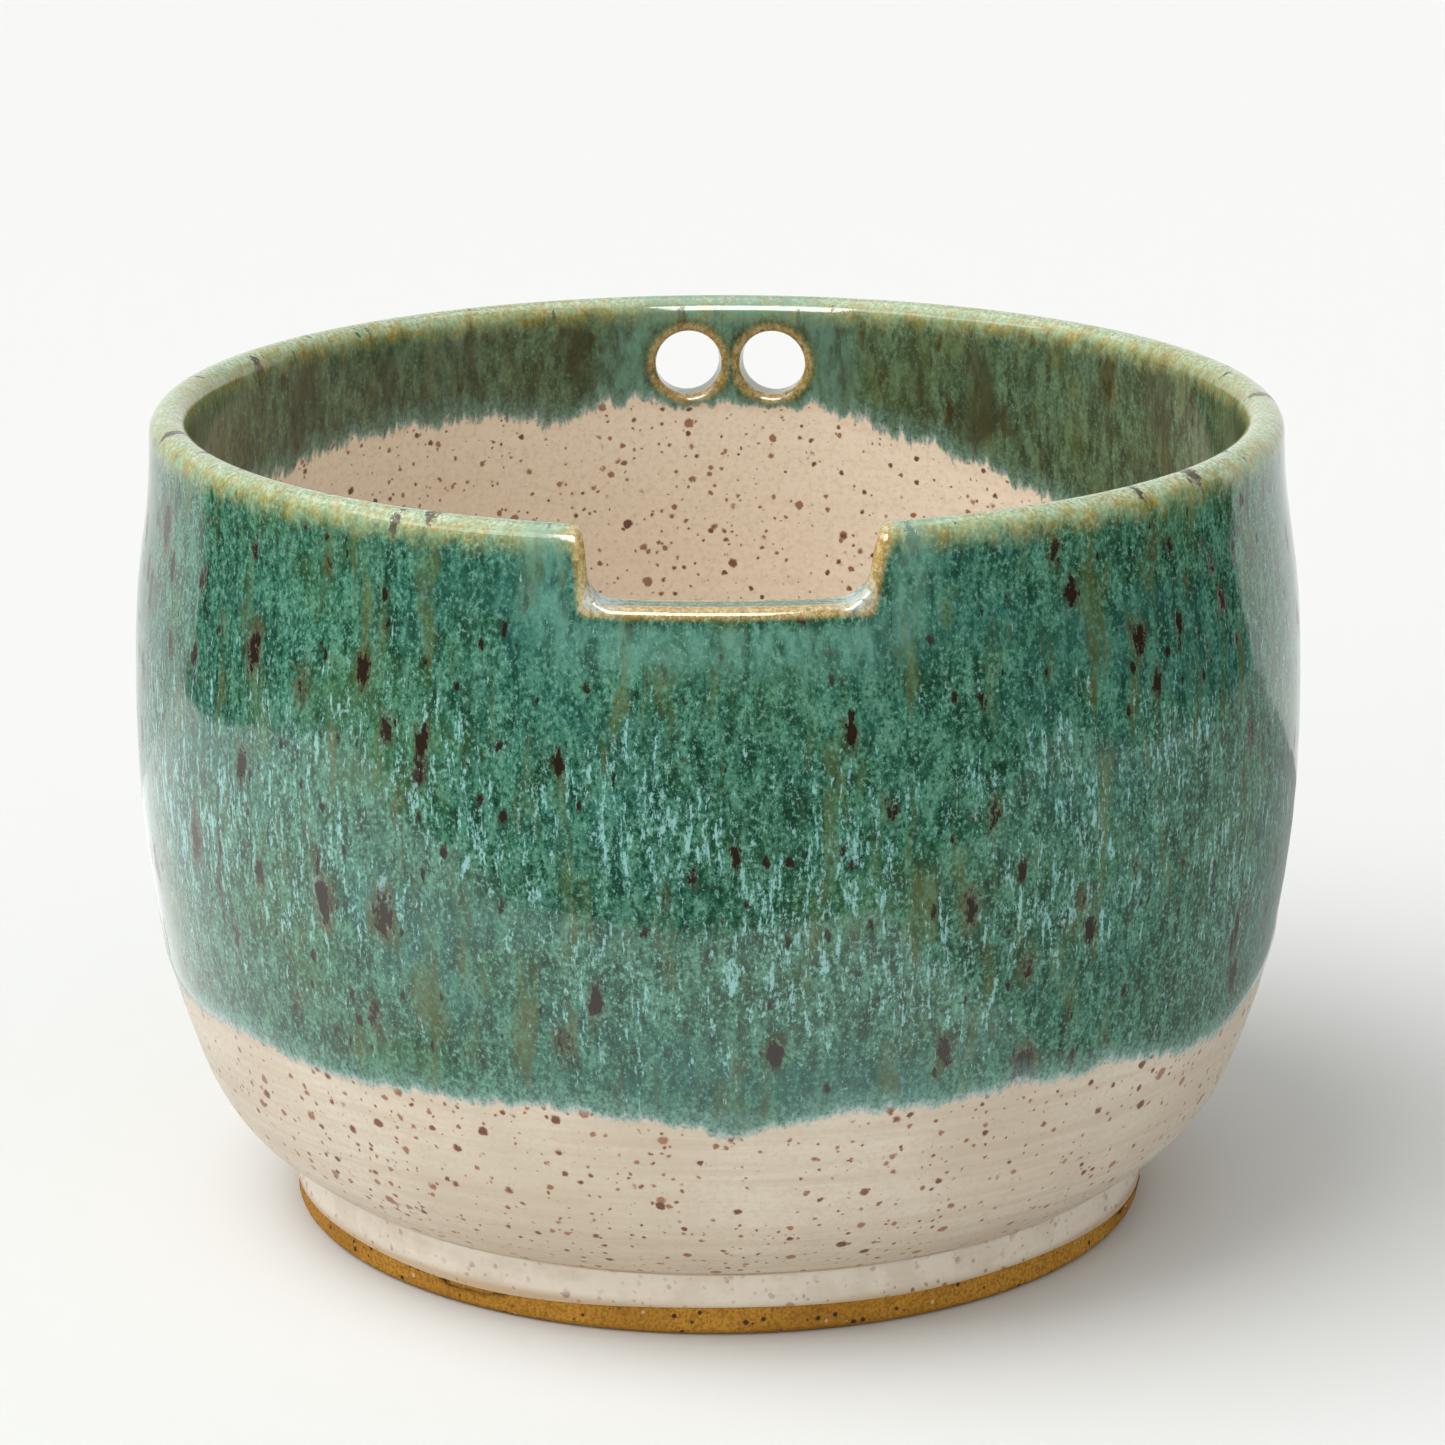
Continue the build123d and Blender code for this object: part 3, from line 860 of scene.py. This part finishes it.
def feathered_edge(n, colour, cream, p, run, inside, grain):
    """Lower edge: feathered, paler and bluer where it thins out over the cream."""
    comb = n.noise(n.vec("MULTIPLY", run, (0.42, 0.42, 0.12)), 1.0, 3, 0.68)
    tooth = n.noise(n.vec("MULTIPLY", p, (1.5, 1.5, 0.8)), 1.0, 2, 0.7)
    drip = n.math("ADD", 3.6, n.math("MULTIPLY", inside, 4.0))
    edge = n.math("ADD", n.carried("above"),
                  n.math("MULTIPLY", n.math("SUBTRACT", comb, 0.5), drip))
    edge = n.math("ADD", edge, n.math("MULTIPLY", n.math("SUBTRACT", tooth, 0.5), 1.7))
    pale = n.step(edge, 0.6, 4.2, 0.0, 1.0)
    colour = n.mix(n.math("MULTIPLY", pale, n.step(grain, 0.35, 0.6, 0.6, 0.2)), colour,
                   (0.17, 0.33, 0.275))
    haze = n.step(edge, -0.1, 1.2, 0.0, 1.0)
    colour = n.mix(n.math("MULTIPLY", haze, n.step(grain, 0.35, 0.6, 0.85, 0.4)), colour,
                   (0.40, 0.49, 0.47))
    cover = n.step(edge, -0.65, 0.3)
    return n.mix(cover, cream, colour), cover


def green_material():
    n = Net("green_dip")
    cream, cream_rough, _, p, flow = cream_look(n)
    inside = n.carried("inner")
    wander = n.node("ShaderNodeTexNoise", Vector=n.vec("MULTIPLY", flow, (0.3, 0.3, 0.12)),
                    Scale=1.0, Detail=1.0).outputs["Color"]
    run = n.vec("ADD", flow, n.vec("MULTIPLY", wander, (2.0, 2.0, 0.0)))
    colour, mottle, grain = green_ground(n, p, flow, run)
    runs = pale_runs(n, p, flow, run)
    colour = n.mix(n.math("MULTIPLY", runs, 0.82), colour, (0.27, 0.52, 0.50))
    spots, halos = iron_spots(n, p, run)
    colour = n.mix(n.step(halos, 0.0, 1.0, 0.7), colour, (0.080, 0.060, 0.016))
    colour = n.mix(n.step(spots, 0.1, 0.8, 0.96), colour, (0.016, 0.008, 0.004))
    colour = green_inside(n, colour, flow, inside, mottle)
    colour = broken_lip(n, colour, p, flow, grain, spots)
    colour = cut_edges(n, colour, p, inside, mottle, grain)
    colour, cover = feathered_edge(n, colour, cream, p, run, inside, grain)

    gloss = n.math("ADD", 0.075, n.math("MULTIPLY", n.math("MAXIMUM", spots, runs), 0.12))
    rough = n.math("ADD", n.math("MULTIPLY", cover, gloss),
                   n.math("MULTIPLY", n.math("SUBTRACT", 1.0, cover), cream_rough))
    height = n.math("ADD", n.math("MULTIPLY", runs, 0.12), n.math("MULTIPLY", mottle, 0.25))
    height = n.math("SUBTRACT", height, n.math("MULTIPLY", spots, 0.4))
    height = n.math("ADD", height, n.math("MULTIPLY", cover, 0.9))
    n.bsdf.inputs["IOR"].default_value = 1.52
    return n.finish(colour, rough, height, 0.00007)


def clay_material():
    n = Net("bare_stoneware")
    p = n.place()
    broad = n.noise(p, 0.06, 3)
    sand = n.noise(p, 2.2, 4, 0.7)
    colour = n.mix(n.step(broad, 0.35, 0.68), (0.39, 0.178, 0.016), (0.51, 0.250, 0.028))
    colour = n.mix(n.step(sand, 0.42, 0.62, 0.7), colour, (0.20, 0.085, 0.008))
    dist, tone = n.cells(p, 0.9)
    grit = n.math("MULTIPLY", n.step(n.first(tone), 0.45, 1.0), 0.38)
    dark = n.math("MULTIPLY", n.math("SUBTRACT", grit, dist), 9.0, clamp=True)
    colour = n.mix(dark, colour, (0.055, 0.026, 0.010))
    dist, tone = n.cells(n.vec("ADD", p, (40, 9, 3)), 0.75)
    grit = n.math("MULTIPLY", n.step(n.first(tone), 0.66, 1.0), 0.3)
    light = n.math("MULTIPLY", n.math("SUBTRACT", grit, dist), 9.0, clamp=True)
    colour = n.mix(n.math("MULTIPLY", light, 0.7), colour, (0.62, 0.47, 0.25))
    height = n.math("ADD", sand, n.math("MULTIPLY", n.math("ADD", light, dark), 0.5))
    rough = n.math("ADD", 0.68, n.math("MULTIPLY", sand, 0.25))
    n.bsdf.inputs["Specular IOR Level"].default_value = 0.22
    return n.finish(colour, rough, height, 0.00022)


def plain(name, colour, rough):
    """A material of one colour."""
    mat = bpy.data.materials.new(name)
    mat.use_nodes = True
    bsdf = mat.node_tree.nodes["Principled BSDF"]
    bsdf.inputs["Base Color"].default_value = (*colour, 1)
    bsdf.inputs["Roughness"].default_value = rough
    return mat


body.data.materials.append(clay_material())
outside.data.materials.append(cream_material("cream_outside_satin"))
liner.data.materials.append(cream_material("cream_liner_satin"))
green.data.materials.append(green_material())

# --- stage, light and camera --------------------------------------------------------------------
def card(name, corners, colour=(0, 0, 0), glow=0.0):
    """A flat glowing card that only reflections see."""
    mesh = bpy.data.meshes.new(name)
    mesh.from_pydata(corners, [], [tuple(range(len(corners)))])
    obj = bpy.data.objects.new(name, mesh)
    bpy.context.scene.collection.objects.link(obj)
    mat = bpy.data.materials.new(name)
    mat.use_nodes = True
    nodes = mat.node_tree.nodes
    nodes.clear()
    glow_node = nodes.new("ShaderNodeEmission")
    glow_node.inputs["Color"].default_value = (*colour, 1)
    glow_node.inputs["Strength"].default_value = glow
    output = nodes.new("ShaderNodeOutputMaterial")
    mat.node_tree.links.new(glow_node.outputs[0], output.inputs[0])
    mesh.materials.append(mat)
    obj.visible_camera = False
    obj.visible_diffuse = False
    obj.visible_shadow = False
    obj.visible_transmission = False
    obj.visible_volume_scatter = False
    return obj


DIM = 0.035
NEAR_L, NEAR_R, BACK_L, BACK_R = (-0.45, -0.188), (0.39, -0.235), (-0.33, 0.16), (0.36, 0.185)


def low_card(name, points):
    """A dim card just above the floor."""
    card(name, [(px, py, 0.001) for px, py in points], (1, 1, 1), DIM)


low_card("dark_front", [(-2.5, -3.0), (2.5, -3.0), (2.5, -0.25), NEAR_R, NEAR_L, (-2.5, -0.188)])
low_card("dark_left", [(-2.5, -0.188), NEAR_L, (-0.44, -0.05), (-0.325, 0.09), BACK_L,
                       (-2.5, 1.22)])
low_card("dark_right", [NEAR_R, (2.5, -0.25), (2.5, 1.28), BACK_R, (0.355, 0.07), (0.385, -0.01)])
# glowing cards that only reflections see, standing in for the lit paper: a painted reflection of
# the floor, dimmest on the right as a painted shadow of the bowl there
for k, (x0, x1, y0, y1) in enumerate(((-0.41, -0.10, -0.19, 0.17), (0.10, 0.36, -0.22, 0.18),
                                      (-0.10, 0.10, -0.21, -0.10), (-0.10, 0.10, 0.10, 0.17))):
    card(f"painted_paper_reflection_{k}", [(x0, y0, 0.0006), (x1, y0, 0.0006), (x1, y1, 0.0006),
                               (x0, y1, 0.0006)], (1, 1, 0.98), (1.45, 0.40, 1.25, 1.0)[k])
card("bright_softbox", [(-0.43, -0.76, 0.62), (0.16, -0.86, 0.62), (0.20, -0.46, 0.95),
                        (-0.39, -0.36, 0.95)], (1, 1, 1), 17.0)
card("bright_top", [(-1.3, -0.5, 1.5), (0.5, -0.5, 1.5), (0.5, 1.1, 1.5), (-1.3, 1.1, 1.5)],
     (1, 1, 1), 2.2)
for k in range(12):
    a, b = (math.radians(-116 + 233 * q / 12) for q in (k, k + 1))
    card(f"dark_wall_{k}", [(1.6 * math.sin(a), -1.6 * math.cos(a), 0),
                            (1.6 * math.sin(b), -1.6 * math.cos(b), 0),
                            (1.6 * math.sin(b), -1.6 * math.cos(b), 0.75),
                            (1.6 * math.sin(a), -1.6 * math.cos(a), 0.75)], (1, 1, 1), DIM)

PAPER_Z = -0.0001                                    # just under the resting face
floor_mesh = bpy.data.meshes.new("studio_floor")
ring_r = [0.6, 1.2] + [1.5 + 0.15 * k for k in range(31)]
ring_z = [2.4 * (max(0.0, q - 1.5) / 4.5) ** 2.4 for q in ring_r]
fv, ff = [(0, 0, PAPER_Z)], []
seg = 96
for rr, zz in zip(ring_r, ring_z):
    for k in range(seg):
        a = 2 * math.pi * k / seg
        fv.append((rr * math.cos(a), rr * math.sin(a), zz + PAPER_Z))
for k in range(seg):
    ff.append((0, 1 + k, 1 + (k + 1) % seg))
for n in range(len(ring_r) - 1):
    for k in range(seg):
        a, b = 1 + n * seg + k, 1 + n * seg + (k + 1) % seg
        ff.append((a, a + seg, b + seg, b))
floor_mesh.from_pydata(fv, [], ff)
floor_mesh.polygons.foreach_set("use_smooth", [True] * len(floor_mesh.polygons))
floor = bpy.data.objects.new("studio_floor", floor_mesh)
bpy.context.scene.collection.objects.link(floor)
paper = plain("studio_paper", (0.712, 0.717, 0.702), 1.0)
paper.node_tree.nodes["Principled BSDF"].inputs["Specular IOR Level"].default_value = 0.0
floor.data.materials.append(paper)

world = bpy.data.worlds.new("studio")
bpy.context.scene.world = world
world.use_nodes = True
world.node_tree.nodes["Background"].inputs["Color"].default_value = (1, 1, 1, 1)
sky = world.node_tree
spot = sky.nodes.new("ShaderNodeTexCoord")
parts = sky.nodes.new("ShaderNodeSeparateXYZ")
fade_x = sky.nodes.new("ShaderNodeMapRange")             # the room is lighter on the left
for socket, item in zip(fade_x.inputs[1:5], (-1.0, 1.0, 1.0, 0.44)):
    socket.default_value = item
sky.links.new(spot.outputs["Generated"], parts.inputs[0])
sky.links.new(parts.outputs["X"], fade_x.inputs[0])
sky.links.new(fade_x.outputs[0], sky.nodes["Background"].inputs["Strength"])


def area(name, place_at, target, size, power, colour=(1, 1, 1)):
    data = bpy.data.lights.new(name, "AREA")
    data.shape = "RECTANGLE"
    data.size, data.size_y = size
    data.energy = power
    data.color = colour
    obj = bpy.data.objects.new(name, data)
    bpy.context.scene.collection.objects.link(obj)
    obj.location = place_at
    way = [t - p for t, p in zip(target, place_at)]
    obj.rotation_euler = Vector(way).to_track_quat("-Z", "Y").to_euler()
    return obj


sun_data = bpy.data.lights.new("key_upper_left", "SUN")
sun_data.energy = 2.1
sun_data.angle = math.radians(48)
sun = bpy.data.objects.new("key_upper_left", sun_data)
bpy.context.scene.collection.objects.link(sun)
sun.rotation_euler = Vector((0.60, 0.24, -1.05)).to_track_quat("-Z", "Y").to_euler()
low = area("fill_front", (-0.75, -1.1, 0.42), (0, 0, 0.05), (0.9, 0.6), 3.4)
low.visible_glossy = False
cam_data = bpy.data.cameras.new("camera")
camera = bpy.data.objects.new("camera", cam_data)
bpy.context.scene.collection.objects.link(camera)
cam_data.sensor_width = 36.0
cam_data.lens = 122.73
camera.location = (0.0, -0.62009, 0.23927)
aim = (Euler((0, 0, -0.001044)).to_matrix() @ Euler((math.radians(90 - 15.887), 0, 0)).to_matrix()
       @ Euler((0, 0, math.radians(-0.139))).to_matrix())
camera.rotation_euler = aim.to_euler()
bpy.context.scene.camera = camera
bpy.context.scene.view_settings.view_transform = "Standard"
